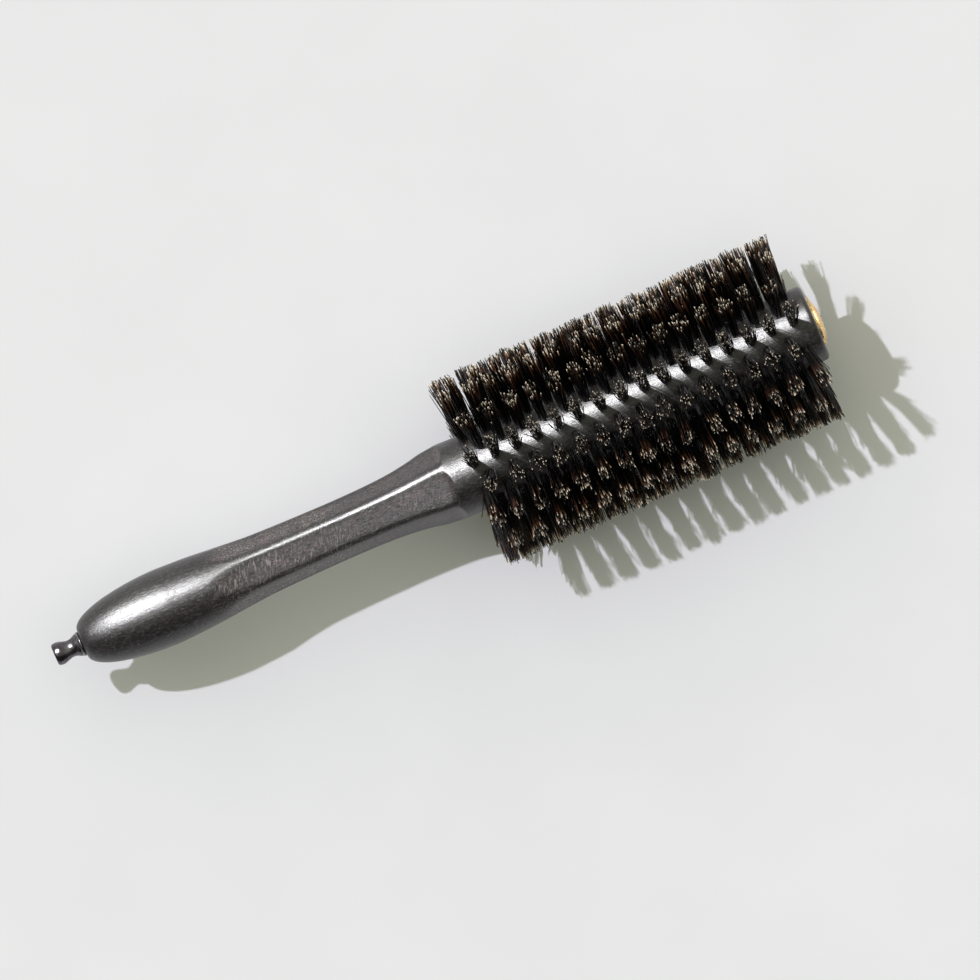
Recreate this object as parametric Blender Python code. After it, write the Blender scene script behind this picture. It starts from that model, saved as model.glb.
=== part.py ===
"""Round barrel hair brush: a turned wooden handle and barrel core, staggered rows of bristle tufts set in
drilled holes, a domed end medallion, and a sectioning pick stored in the handle.

Metres, +Z up. The brush lies on its bristles with its axis along +X, from the pick's knob to the medallion.
The origin is under the middle of the brush, on the plane that the bristles rest on. Stations are distances
along the axis from the outer end of the knob.
"""

import math

import bmesh
import bpy
from mathutils import Matrix, Vector

MM = 0.001

# Clearances
GAP = 0.3 * MM  # between pieces that touch
SLIP = 0.15 * MM  # around the grip sleeve, which slides
DRILL_OVERRUN = 2.0 * MM  # how far a cutter stands out of the wood

# Wooden handle
HANDLE_LENGTH = 121.5 * MM  # from the end face to the neck, where the barrel starts
HANDLE_END_RADIUS = 4.3 * MM
BULB_RADIUS = 12.0 * MM
WAIST_RADIUS = 9.45 * MM
BULB_AT = 0.24  # the widest place, as a share of the handle's length
WAIST_AT = 0.74

# Six flats of the grip
FLAT_COUNT = 6
FLAT_RIDGE_ANGLE = math.radians(-24.5)  # of one ridge from the top, towards -Y
FLAT_WAIST_APOTHEM = 8.35 * MM
FLAT_START_AT = 0.36  # where the flats come out of the bulb, as a share of the handle's length
FLAT_FULL_AT = 0.50  # where they reach their full width
FLAT_RUNOUT = 3.4 * MM  # past the neck, where they leave the barrel

# Barrel core
BARREL_LENGTH = 124.8 * MM
BARREL_RADIUS = 12.2 * MM
NECK_PROUD = 0.1 * MM  # of the neck over the barrel
BARREL_EDGE = 1.3 * MM  # rounding of the end

# Tufts
ROW_COUNT = 16
TUFT_PITCH = 7.13 * MM
TUFT_FIRST = 11.3 * MM  # first tuft from the neck
TUFT_LAST_MARGIN = 6.5 * MM  # least distance from the last tuft to the barrel's end
TIP_RADIUS = 31.2 * MM
TUFT_MERGE_DEPTH = 2.6 * MM  # how far below the tips neighbouring tufts run together
TUFT_MOUTH_RADIUS = 1.25 * MM
TUFT_TIP_HALF_WIDTH = 3.0 * MM  # across the row
HOLE_DEPTH = 5.0 * MM

# Medallion
MEDALLION_RADIUS = 8.1 * MM
MEDALLION_RISE = 2.2 * MM  # above the barrel's end face
MEDALLION_FLAT_RADIUS = 3.0 * MM
MEDALLION_RIM = 0.9 * MM
PAD_THICKNESS = 0.4 * MM
PAD_INSET = 1.0 * MM

# Pick
KNOB_LENGTH = 8.0 * MM
KNOB_HEAD_RADIUS = 3.6 * MM
KNOB_WAIST_RADIUS = 2.8 * MM
KNOB_FLARE_RADIUS = 3.8 * MM
KNOB_FACE_RADIUS = 3.0 * MM
KNOB_SOCKET_DEPTH = 5.0 * MM
PIN_RADIUS = 1.0 * MM
PIN_REACH = 95.0 * MM  # of the pin past the handle's end face
PIN_TAPER = 14.0 * MM
PIN_POINT_RADIUS = 0.4 * MM
GRIP_SLEEVE_LENGTH = 8.0 * MM
GRIP_SLEEVE_WALL = 0.7 * MM

# Ferrule
FLANGE_RADIUS = 4.0 * MM
FLANGE_THICKNESS = 0.7 * MM
FERRULE_REACH = 15.0 * MM  # into the handle
FERRULE_WALL = 0.6 * MM
FERRULE_SEAT_DEPTH = 1.0 * MM  # spare depth behind the ferrule
PIN_BORE_CLEARANCE = 0.6 * MM
PIN_BORE_SPARE = 4.0 * MM  # past the pin's point

# Facets
TURNED_SIDES = 32
SMALL_SIDES = 20
HANDLE_COLUMNS = 36  # a multiple of FLAT_COUNT, so that each ridge has points of its own
NOSE_RINGS = 7
GRIP_RINGS = 15
RUNOUT_RINGS = 3
DOME_RINGS = 5
KNOB_RINGS = 9

# Stations and radii that follow
NECK_RADIUS = BARREL_RADIUS + NECK_PROUD
FLANGE_START = KNOB_LENGTH + GAP
HANDLE_START = FLANGE_START + FLANGE_THICKNESS + GAP
NECK = HANDLE_START + HANDLE_LENGTH
BARREL_END = NECK + BARREL_LENGTH
OVERALL_LENGTH = BARREL_END + MEDALLION_RISE
PIN_TIP = HANDLE_START + PIN_REACH
GRIP_SLEEVE_BORE = PIN_RADIUS + SLIP
GRIP_SLEEVE_RADIUS = GRIP_SLEEVE_BORE + GRIP_SLEEVE_WALL
FERRULE_BORE = GRIP_SLEEVE_RADIUS + SLIP
FERRULE_RADIUS = FERRULE_BORE + FERRULE_WALL
RECESS_DEPTH = GAP + PAD_THICKNESS + GAP + MEDALLION_RIM - GAP

# The lowest corner of a row's tip face is that of the two rows beside the bottom line.
HALF_ROW_ANGLE = math.pi / ROW_COUNT
AXIS_HEIGHT = (
    TIP_RADIUS * math.cos(HALF_ROW_ANGLE) + TUFT_TIP_HALF_WIDTH * math.sin(HALF_ROW_ANGLE)
)


def clear_scene():
    for old in list(bpy.data.objects):
        bpy.data.objects.remove(old)


def material(name, color, roughness, metallic=0.0):
    made = bpy.data.materials.new(name)
    made.use_nodes = True
    shader = made.node_tree.nodes["Principled BSDF"]
    shader.inputs["Base Color"].default_value = (*color, 1.0)
    shader.inputs["Roughness"].default_value = roughness
    shader.inputs["Metallic"].default_value = metallic
    made.diffuse_color = (*color, 1.0)
    return made


def empty(name, location, parent=None):
    made = bpy.data.objects.new(name, None)
    made.location = location
    made.parent = parent
    bpy.context.scene.collection.objects.link(made)
    return made


def finish_mesh(bm, name, smooth_angle=30.0):
    """Closes a bmesh into a mesh with its faces pointing out, smooth but for its sharp edges."""
    bmesh.ops.recalc_face_normals(bm, faces=bm.faces)
    mesh = bpy.data.meshes.new(name)
    bm.to_mesh(mesh)
    bm.free()
    mesh.shade_smooth()
    mesh.set_sharp_from_angle(angle=math.radians(smooth_angle))
    return mesh


def add_object(name, mesh, parent, look, station=0.0, turn=0.0):
    """An object on the brush's axis, station along it and turned about it."""
    made = bpy.data.objects.new(name, mesh)
    if look and not mesh.materials:
        mesh.materials.append(look)
    made.parent = parent
    made.location.x = station
    made.rotation_euler.x = turn
    bpy.context.scene.collection.objects.link(made)
    return made


def cutter(name, mesh, parent, station=0.0):
    made = add_object(name, mesh, parent, None, station)
    made.hide_render = True
    made.display_type = "WIRE"
    return made


def boolean(target, tool, operation):
    step = target.modifiers.new(tool.name, "BOOLEAN")
    step.operation = operation
    step.solver = "EXACT"
    step.object = tool


def turned(name, outline, sides, hollow=False):
    """A mesh spun about X from (x, radius) points. A hollow outline is a closed loop clear of the axis, and
    any other has its two ends filled with flat faces."""
    bm = bmesh.new()
    verts = [bm.verts.new((x, 0.0, radius)) for x, radius in outline]
    pairs = list(zip(verts, verts[1:]))
    if hollow:
        pairs.append((verts[-1], verts[0]))
    edges = [bm.edges.new(pair) for pair in pairs]
    bmesh.ops.spin(
        bm, geom=verts + edges, cent=(0, 0, 0), axis=(1, 0, 0), angle=2 * math.pi, steps=sides, use_merge=True
    )
    bmesh.ops.remove_doubles(bm, verts=bm.verts, dist=1e-6)
    if not hollow:
        open_edges = [edge for edge in bm.edges if edge.is_boundary]
        bmesh.ops.holes_fill(bm, edges=open_edges, sides=sides)
    return finish_mesh(bm, name)


def curve_through(points, at):
    """The value at a place on a smooth curve through (place, value) points, with no overshoot at flat ends."""
    if at <= points[0][0]:
        return points[0][1]
    if at >= points[-1][0]:
        return points[-1][1]

    def slope(i):
        low, high = max(i - 1, 0), min(i + 1, len(points) - 1)
        return (points[high][1] - points[low][1]) / (points[high][0] - points[low][0])

    i = max(n for n, point in enumerate(points) if point[0] <= at)
    (x0, y0), (x1, y1) = points[i], points[i + 1]
    width = x1 - x0
    t = (at - x0) / width
    start = (2 * t**3 - 3 * t**2 + 1) * y0 + (t**3 - 2 * t**2 + t) * width * slope(i)
    end = (3 * t**2 - 2 * t**3) * y1 + (t**3 - t**2) * width * slope(i + 1)
    return start + end


def handle_radius(x):
    """The turned outline at x from the handle's end face: a quarter ellipse up to the bulb, then a curve down
    to the waist and a quicker flare out to the neck."""
    bulb = BULB_AT * HANDLE_LENGTH
    if x < bulb:
        rise = math.sqrt(max(1 - ((bulb - x) / bulb) ** 2, 0.0))
        return HANDLE_END_RADIUS + (BULB_RADIUS - HANDLE_END_RADIUS) * rise
    swell, flare = BULB_RADIUS - WAIST_RADIUS, NECK_RADIUS - WAIST_RADIUS
    grip = [
        (BULB_AT, BULB_RADIUS),
        (0.33, WAIST_RADIUS + 0.78 * swell),
        (0.42, WAIST_RADIUS + 0.41 * swell),
        (0.51, WAIST_RADIUS + 0.18 * swell),
        (0.63, WAIST_RADIUS + 0.04 * swell),
        (WAIST_AT, WAIST_RADIUS),
        (0.83, WAIST_RADIUS + 0.09 * flare),
        (0.89, WAIST_RADIUS + 0.28 * flare),
        (0.94, WAIST_RADIUS + 0.60 * flare),
        (0.97, WAIST_RADIUS + 0.86 * flare),
        (1.00, NECK_RADIUS),
    ]
    return curve_through(grip, x / HANDLE_LENGTH)


def flat_apothem(x):
    """How far the milled flats lie from the axis at x from the handle's end face."""
    clear = NECK_RADIUS + GAP
    start = FLAT_START_AT * HANDLE_LENGTH
    if x < start:
        return clear
    full = FLAT_FULL_AT * HANDLE_LENGTH
    share = FLAT_WAIST_APOTHEM / WAIST_RADIUS
    if x < full:
        ease = (x - start) / (full - start)
        return handle_radius(x) * (1 + (share - 1) * math.sin(ease * math.pi / 2))
    if x <= HANDLE_LENGTH:
        return handle_radius(x) * share
    at_neck = NECK_RADIUS * share
    return at_neck + (clear - at_neck) * (x - HANDLE_LENGTH) / FLAT_RUNOUT


def handle_mesh():
    """The handle, turned and then milled, as rings of points in a regular fan. Each ring's ridges lie on
    points of their own, and the last ring is a full circle inside which the barrel starts."""
    bulb = BULB_AT * HANDLE_LENGTH
    nose = [bulb * (1 - math.cos(i * math.pi / 2 / NOSE_RINGS)) for i in range(NOSE_RINGS)]
    grip = [bulb + (HANDLE_LENGTH - bulb) * i / GRIP_RINGS for i in range(GRIP_RINGS)]
    runout = [HANDLE_LENGTH + FLAT_RUNOUT * i / RUNOUT_RINGS for i in range(RUNOUT_RINGS + 1)]
    bm = bmesh.new()
    rings = []
    for x in nose + grip + runout:
        ring = []
        for column in range(HANDLE_COLUMNS):
            angle = FLAT_RIDGE_ANGLE + 2 * math.pi * column / HANDLE_COLUMNS
            from_middle = (angle - FLAT_RIDGE_ANGLE) % (2 * math.pi / FLAT_COUNT) - math.pi / FLAT_COUNT
            radius = min(handle_radius(x), flat_apothem(x) / math.cos(from_middle))
            ring.append(bm.verts.new((x, -radius * math.sin(angle), radius * math.cos(angle))))
        rings.append(ring)
    for ring, after in zip(rings, rings[1:]):
        for i in range(HANDLE_COLUMNS):
            j = (i + 1) % HANDLE_COLUMNS
            bm.faces.new((ring[i], ring[j], after[j], after[i]))
    bm.faces.new(rings[0])
    bm.faces.new(rings[-1])
    return finish_mesh(bm, "handle")


def tuft_count(row):
    """Even rows start half a pitch later than odd rows and have one tuft fewer."""
    room = BARREL_LENGTH - TUFT_FIRST - TUFT_LAST_MARGIN
    longest = int(room / TUFT_PITCH + 1e-9) + 1
    return longest - 1 + row % 2


def first_tuft(row):
    """The station of a row's first tuft."""
    return NECK + TUFT_FIRST + (0.0 if row % 2 else TUFT_PITCH / 2)


def row_angle(row):
    return HALF_ROW_ANGLE * (2 * row + 1)


def tuft_half_width(radius, at_tip):
    """Half the width of a tuft at a distance from the axis, in a straight flare from the hole's mouth."""
    merge = TIP_RADIUS - TUFT_MERGE_DEPTH
    share = (min(radius, merge) - BARREL_RADIUS) / (merge - BARREL_RADIUS)
    return TUFT_MOUTH_RADIUS + (at_tip - TUFT_MOUTH_RADIUS) * share


def tuft_ring(bm, middle, radius, before):
    """Six points around a tuft, which takes over the two on its -X side from the tuft before it."""
    along = tuft_half_width(radius, TUFT_PITCH / 2)
    across = tuft_half_width(radius, TUFT_TIP_HALF_WIDTH)
    ring = [None, None, before[0], before[5], None, None] if before else [None] * 6
    corners = (
        (along, across / 2),
        (0.0, across),
        (-along, across / 2),
        (-along, -across / 2),
        (0.0, -across),
        (along, -across / 2),
    )
    for i, (x, y) in enumerate(corners):
        if ring[i] is None:
            ring[i] = bm.verts.new((middle + x, y, radius))
    return ring


def row_mesh(name, count):
    """A row of tufts that stand along +Z, each tapering down into its hole, with their tips run together."""
    root = BARREL_RADIUS - HOLE_DEPTH + GAP
    merge = TIP_RADIUS - TUFT_MERGE_DEPTH
    before_merge = before_tip = None
    bm = bmesh.new()
    for tuft in range(count):
        middle = tuft * TUFT_PITCH
        low = tuft_ring(bm, middle, root, None)
        mid = tuft_ring(bm, middle, merge, before_merge)
        top = tuft_ring(bm, middle, TIP_RADIUS, before_tip)
        shared = {2} if tuft else set()
        if tuft < count - 1:
            shared.add(5)
        for i in range(6):
            j = (i + 1) % 6
            bm.faces.new((low[i], low[j], mid[j], mid[i]))
            if i not in shared:
                bm.faces.new((mid[i], mid[j], top[j], top[i]))
        bm.faces.new(low)
        bm.faces.new(top)
        before_merge, before_tip = mid, top
    return finish_mesh(bm, name)


def tuft_drill_mesh():
    """Every tuft's six-sided hole, from its bottom to clear of the barrel."""
    flats = tuft_half_width(BARREL_RADIUS, TUFT_PITCH / 2) + GAP
    corner = flats / math.cos(math.pi / 6)
    bottom = BARREL_RADIUS - HOLE_DEPTH
    depth = HOLE_DEPTH + DRILL_OVERRUN
    bm = bmesh.new()
    for row in range(ROW_COUNT):
        turn = Matrix.Rotation(row_angle(row), 4, "X")
        for tuft in range(tuft_count(row)):
            place = Vector((first_tuft(row) + tuft * TUFT_PITCH, 0.0, bottom + depth / 2))
            spun = Matrix.Rotation(math.pi / 6, 4, "Z")
            bmesh.ops.create_cone(
                bm,
                cap_ends=True,
                segments=6,
                radius1=corner,
                radius2=corner,
                depth=depth,
                matrix=turn @ Matrix.Translation(place) @ spun,
            )
    return finish_mesh(bm, "tuft_drill")


def build_wood_body(parent, look):
    body = add_object("wood_body", handle_mesh(), parent, look, HANDLE_START)

    # The barrel has a flat under each row, so that a hole's mouth lies in one face.
    start = NECK + FLAT_RUNOUT - GAP
    edge = [
        (BARREL_END - BARREL_EDGE * (1 - math.sin(t)), BARREL_RADIUS - BARREL_EDGE * (1 - math.cos(t)))
        for t in (0.0, math.pi / 4, math.pi / 2)
    ]
    blank = turned("barrel_blank", [(start, BARREL_RADIUS), *edge], ROW_COUNT)
    blank_object = cutter("barrel_blank", blank, parent)
    boolean(body, blank_object, "UNION")

    boolean(body, cutter("tuft_drill", tuft_drill_mesh(), parent), "DIFFERENCE")

    seat_end = HANDLE_START + FERRULE_REACH + FERRULE_SEAT_DEPTH
    bore_end = PIN_TIP + PIN_BORE_SPARE
    seat_radius = FERRULE_RADIUS + GAP
    bore_radius = PIN_RADIUS + PIN_BORE_CLEARANCE
    bore = [
        (HANDLE_START - DRILL_OVERRUN, seat_radius),
        (seat_end, seat_radius),
        (seat_end, bore_radius),
        (bore_end, bore_radius),
    ]
    boolean(body, cutter("pick_drill", turned("pick_drill", bore, SMALL_SIDES), parent), "DIFFERENCE")

    recess_radius = MEDALLION_RADIUS + GAP
    recess = [(BARREL_END - RECESS_DEPTH, recess_radius), (BARREL_END + DRILL_OVERRUN, recess_radius)]
    recess_mesh = turned("medallion_counterbore", recess, TURNED_SIDES)
    boolean(body, cutter("medallion_counterbore", recess_mesh, parent), "DIFFERENCE")


def build_bristles(parent, look):
    meshes = [row_mesh(f"bristle_row_{kind}", tuft_count(row)) for row, kind in enumerate(("short", "long"))]
    for row in range(ROW_COUNT):
        name = f"bristle_row_{row + 1:02d}"
        add_object(name, meshes[row % 2], parent, look, first_tuft(row), row_angle(row))


def build_medallion(parent, gold, foam):
    floor = BARREL_END - RECESS_DEPTH
    pad_start = floor + GAP
    pad_radius = MEDALLION_RADIUS - PAD_INSET
    pad = [(0.0, pad_radius), (PAD_THICKNESS, pad_radius)]
    add_object("medallion_pad", turned("medallion_pad", pad, SMALL_SIDES), parent, foam, pad_start)

    back = pad_start + PAD_THICKNESS + GAP
    rim = back + MEDALLION_RIM
    dome = MEDALLION_RISE + BARREL_END - rim
    outline = [(0.0, MEDALLION_RADIUS), (MEDALLION_RIM, MEDALLION_RADIUS)]
    for i in range(1, DOME_RINGS + 1):
        share = i / DOME_RINGS
        radius = MEDALLION_RADIUS + (MEDALLION_FLAT_RADIUS - MEDALLION_RADIUS) * share
        outline.append((MEDALLION_RIM + dome * math.sin(share * math.pi / 2), radius))
    add_object("end_medallion", turned("end_medallion", outline, TURNED_SIDES), parent, gold, back)


def build_ferrule(parent, look):
    end = FLANGE_THICKNESS + GAP + FERRULE_REACH
    outline = [
        (0.0, FERRULE_BORE),
        (0.0, FLANGE_RADIUS - GAP),
        (GAP, FLANGE_RADIUS),
        (FLANGE_THICKNESS, FLANGE_RADIUS),
        (FLANGE_THICKNESS, FERRULE_RADIUS),
        (end, FERRULE_RADIUS),
        (end, FERRULE_BORE),
    ]
    mesh = turned("end_ferrule", outline, SMALL_SIDES, hollow=True)
    add_object("end_ferrule", mesh, parent, look, FLANGE_START)


def build_pick(parent, dark, steel, plastic):
    """The pick's three pieces, which slide together along the axis."""
    length = KNOB_LENGTH
    side = [
        (0.00, KNOB_FACE_RADIUS),
        (0.15, KNOB_HEAD_RADIUS),
        (0.30, KNOB_HEAD_RADIUS),
        (0.65, KNOB_WAIST_RADIUS),
        (0.82, (KNOB_WAIST_RADIUS + KNOB_HEAD_RADIUS) / 2),
        (1.00, KNOB_FLARE_RADIUS),
    ]
    shares = [i / KNOB_RINGS for i in range(KNOB_RINGS + 1)]
    outline = [(length * share, curve_through(side, share)) for share in shares]
    socket_radius = PIN_RADIUS + GAP
    socket_floor = length - KNOB_SOCKET_DEPTH
    outline += [(length, socket_radius), (socket_floor, socket_radius)]
    add_object("pick_knob", turned("pick_knob", outline, TURNED_SIDES - 8), parent, dark)

    pin_start = socket_floor + GAP
    pin_length = PIN_TIP - pin_start
    taper = [(pin_length - PIN_TAPER, PIN_RADIUS), (pin_length - PIN_POINT_RADIUS, PIN_POINT_RADIUS)]
    pin = [(0.0, PIN_RADIUS), *taper, (pin_length, PIN_POINT_RADIUS / 2)]
    add_object("pick_pin", turned("pick_pin", pin, SMALL_SIDES), parent, steel, pin_start)

    sleeve = [
        (0.0, GRIP_SLEEVE_BORE),
        (0.0, GRIP_SLEEVE_RADIUS),
        (GRIP_SLEEVE_LENGTH, GRIP_SLEEVE_RADIUS),
        (GRIP_SLEEVE_LENGTH, GRIP_SLEEVE_BORE),
    ]
    mesh = turned("pick_grip_sleeve", sleeve, SMALL_SIDES, hollow=True)
    add_object("pick_grip_sleeve", mesh, parent, plastic, KNOB_LENGTH + GAP)


def main():
    clear_scene()
    ebony = material("ebonised_wood", (0.035, 0.03, 0.032), 0.38)
    bristle = material("boar_bristle", (0.045, 0.022, 0.015), 0.45)
    gold = material("gold_finish", (0.80, 0.56, 0.22), 0.28, 1.0)
    gunmetal = material("black_nickel", (0.11, 0.09, 0.08), 0.22, 1.0)
    polished = material("polished_steel", (0.75, 0.74, 0.72), 0.12, 1.0)
    steel = material("pin_steel", (0.55, 0.55, 0.56), 0.3, 1.0)
    nylon = material("nylon", (0.06, 0.06, 0.06), 0.5)
    foam = material("adhesive_foam", (0.7, 0.7, 0.66), 0.8)

    axis_start = (-OVERALL_LENGTH / 2, 0.0, AXIS_HEIGHT)
    brush = empty("brush_axis", axis_start)
    pick = empty("pick_axis", (0.0, 0.0, 0.0), brush)

    build_wood_body(brush, ebony)
    build_bristles(brush, bristle)
    build_medallion(brush, gold, foam)
    build_ferrule(brush, polished)
    build_pick(pick, gunmetal, steel, nylon)


main()
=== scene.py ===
"""The looks of the round barrel brush: ebonised wood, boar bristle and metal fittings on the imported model.

Metres, +Z up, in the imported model's frame: the brush lies on its bristles with its axis along +X, from the
pick's knob to the medallion. Angles around the axis are measured from the top, towards -Y.
"""

import math

import bpy
import numpy as np
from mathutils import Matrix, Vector


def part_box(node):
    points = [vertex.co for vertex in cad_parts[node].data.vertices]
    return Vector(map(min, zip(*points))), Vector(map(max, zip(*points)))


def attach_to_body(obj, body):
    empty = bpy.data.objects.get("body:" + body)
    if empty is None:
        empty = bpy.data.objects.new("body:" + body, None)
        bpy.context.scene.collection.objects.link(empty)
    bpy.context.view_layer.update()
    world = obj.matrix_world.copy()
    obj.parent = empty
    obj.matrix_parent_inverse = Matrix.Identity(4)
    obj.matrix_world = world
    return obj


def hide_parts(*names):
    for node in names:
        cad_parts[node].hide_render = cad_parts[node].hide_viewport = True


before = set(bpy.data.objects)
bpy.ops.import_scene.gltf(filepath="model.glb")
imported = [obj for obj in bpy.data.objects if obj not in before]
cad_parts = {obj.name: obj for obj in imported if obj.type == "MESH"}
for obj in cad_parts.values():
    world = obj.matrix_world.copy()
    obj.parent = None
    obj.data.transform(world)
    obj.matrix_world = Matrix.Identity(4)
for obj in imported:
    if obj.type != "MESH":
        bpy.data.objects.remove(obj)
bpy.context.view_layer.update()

MM = 0.001

# Places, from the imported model
BODY_LOW, BODY_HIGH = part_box("wood_body")
KNOB_LOW, KNOB_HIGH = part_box("pick_knob")
PIN_LOW, PIN_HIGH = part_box("pick_pin")
SLEEVE_LOW, SLEEVE_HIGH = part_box("pick_grip_sleeve")
FERRULE_LOW, FERRULE_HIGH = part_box("end_ferrule")
PAD_LOW, PAD_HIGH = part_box("medallion_pad")
MEDALLION_LOW, MEDALLION_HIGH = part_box("end_medallion")
AXIS_Z = (PIN_LOW.z + PIN_HIGH.z) / 2
HANDLE_START = BODY_LOW.x
BARREL_END = BODY_HIGH.x

# Wood
HANDLE_LENGTH = 121.5 * MM
NECK = HANDLE_START + HANDLE_LENGTH
HANDLE_END_RADIUS = 4.3 * MM
BULB_RADIUS = 12.0 * MM
WAIST_RADIUS = 9.45 * MM
NECK_RADIUS = 12.3 * MM
BARREL_RADIUS = 12.2 * MM
BARREL_EDGE = 1.4 * MM
BULB_AT = 0.24
RIDGE_ANGLE = math.radians(-24.5)
FLAT_SHARE = 8.35 / 9.45  # of the turned radius, where the flats are at their widest
FLAT_START_AT = 0.36
FLAT_FULL_AT = 0.50
FLAT_RUNOUT = 3.4 * MM
FLAT_SHOWS = 0.25 * MM  # below the turned surface, where a flat has its full look
RIDGE_ROUNDING = 2.1 * MM
EDGE_SOFTNESS = 0.5 * MM  # where a flat runs out into the turned surface
PIN_BORE = 1.6 * MM
SLEEVE_OUTER = 2.6 * MM
FLAT_EDGE = math.radians(9)  # from a ridge, where a flat's look starts
FLAT_FADE = math.radians(7)
SECTOR_COLUMNS = 36  # of points around the handle, between two ridges
RIDGE_CROWDING = 0.7  # how much closer together those points are at a ridge, from 0 to 1
DENSE_FROM = 0.955  # of the handle, where the loft's rings are closer together
GRIP_STEP, NECK_STEP, BARREL_STEP = 0.8 * MM, 0.16 * MM, 0.9 * MM  # between the loft's rings
BARREL_SETTLE = 4 * MM  # over which the neck's radius becomes the barrel's
END_GROOVES = (  # place from the end face, depth and half width
    (1.1 * MM, 0.07 * MM, 0.16 * MM),
    (0.45 * MM, 0.05 * MM, 0.10 * MM),
)
RAY_TURN = math.radians(-8.5)  # of the log's rays, about the brush's axis
RAY_SLANT = 0.30  # how far the rays lean along the grain, in radians

# Bristles
ROWS = 16
PITCH = 7.13 * MM
HOLE_DEPTH = 5.0 * MM
ROOT_RADIUS = 1.28 * MM
TIP_SPREAD = np.array([2.1, 2.75]) * MM  # along the row and across it
TIP_RADIUS = 30.7 * MM
TIP_WANDER = 0.50 * MM
STRAY_SHARE = 0.08  # of the bristles, which wander further
STRAY_WANDER = 1.0 * MM
TUFT_LEAN = 0.38 * MM
SPREAD_VARIES = 0.09  # from tuft to tuft, as a share
END_TUFT_SPLAY = 1.0 * MM  # of a row's first and last tuft, away from the row
TUFT_CROWN = 0.5 * MM  # how much shorter a tuft's outer bristles are
TUFT_HEIGHT_VARIES = 0.25 * MM
TALLEST_EXTRA = 0.9 * MM  # past the tip radius, before the shortfall
SHORTFALL = (1.5, 0.95 * MM)  # shape and scale of the gamma curve of how far bristles fall short
ROOT_LIFT = 0.6 * MM  # of a bristle's root, above the bottom of its hole
BOW = (0.10, 0.18)  # middle and spread of a bristle's sideways bow, in millimetres
THICKNESS_VARIES = 0.12
BRISTLES, BRISTLES_VARY = 52, 5  # in a tuft
BRISTLE_RADIUS = 0.170 * MM
BRISTLE_SIDES = 4
BRISTLE_STEPS = np.array([0.0, 0.30, 0.60, 0.84, 0.965, 1.0])  # from root to tip
BRISTLE_TAPER = np.array([1.0, 1.0, 0.96, 0.90, 0.84, 0.80])
SHORTEST_REACH = TIP_RADIUS - 6 * MM
LONGEST_REACH = TIP_RADIUS + 1.3 * MM
FLOOR_CLEARANCE = 0.12 * MM
SEED = 8

# Light: the key in W/m2, the other lamps in W
KEY_DIRECTION = (-0.43, 0.50, 1.0)
KEY_STRENGTH = 2.12
KEY_ANGLE = math.radians(1.15)
KEY_COLOUR = (0.872, 0.862, 1.0)
PANEL_PLACE = (-0.17, 0.72, 1.01)
PANEL_SIZE = (0.62, 0.44)
PANEL_POWER = 2.5
PANEL_COLOUR = (0.97, 0.98, 1.0)
SHINE_PLACE = (-0.90, 2.20, 3.60)
SHINE_POWER = 740.0
GLINT_PLACE = (2.20, 0.50, 0.10)
GLINT_POWER = 45.0
SHINE_SIZE = (0.08, 0.08)
SHINE_COLOUR = (1.0, 0.99, 1.0)
SKY_TOWARDS = (0.22, 0.74, 0.60)  # where the surroundings are brightest
SKY_COLOUR = (0.98, 1.0, 0.84, 1.0)
SKY_EDGES = (-0.05, 0.60)  # cosines of the angle from there, where it is dimmest and brightest
SKY_STRENGTHS = (0.08, 0.80)
FLOOR_REACH = 6.0

# Camera
CAMERA_ABOVE_AXIS = 6.0
CAMERA_CENTRE = (14.3 * MM, -7.2 * MM)
CAMERA_TURN = math.radians(-23.7)
SEEN_WIDTH = 0.3018
SENSOR_WIDTH = 36.0  # in millimetres, as is the lens


# ---------------------------------------------------------------- meshes


def mesh_object(name, verts, faces, sharp_angle=None):
    mesh = bpy.data.meshes.new(name)
    mesh.from_pydata([tuple(v) for v in verts], [], faces)
    mesh.shade_smooth()
    if sharp_angle is not None:
        mesh.set_sharp_from_angle(angle=math.radians(sharp_angle))
    mesh.update()
    made = bpy.data.objects.new(name, mesh)
    bpy.context.scene.collection.objects.link(made)
    return made


def ring_faces(ring_count, columns, closed=False):
    """Quads between rings of points around the X axis. They face outwards where the rings run towards +X."""
    faces = []
    last = ring_count if closed else ring_count - 1
    for i in range(last):
        a, b = i * columns, ((i + 1) % ring_count) * columns
        for j in range(columns):
            k = (j + 1) % columns
            faces.append((a + j, a + k, b + k, b + j))
    return faces


def around(x, radius, angles):
    """Points at x, each at its radius and angle about the brush's axis."""
    radius = np.broadcast_to(radius, angles.shape)
    return np.stack(
        [np.full(angles.shape, x), -radius * np.sin(angles), AXIS_Z + radius * np.cos(angles)], axis=1
    )


def turned(name, outline, columns=96, closed=False, sharp_angle=38):
    """A turned piece from (x, radius) points. An open outline starts and ends with a flat face."""
    angles = np.linspace(0, 2 * math.pi, columns, endpoint=False)
    verts = np.concatenate([around(x, radius, angles) for x, radius in outline])
    faces = ring_faces(len(outline), columns, closed)
    if not closed:
        faces.append(tuple(range(columns - 1, -1, -1)))
        faces.append(tuple(range((len(outline) - 1) * columns, len(outline) * columns)))
    return mesh_object(name, verts, faces, sharp_angle)


def arc(centre, radius, start, end, steps):
    """Outline points on an arc, in degrees from +X towards outwards."""
    angles = np.radians(np.linspace(start, end, steps + 1))
    return [(centre[0] + radius * math.cos(t), centre[1] + radius * math.sin(t)) for t in angles]


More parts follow.
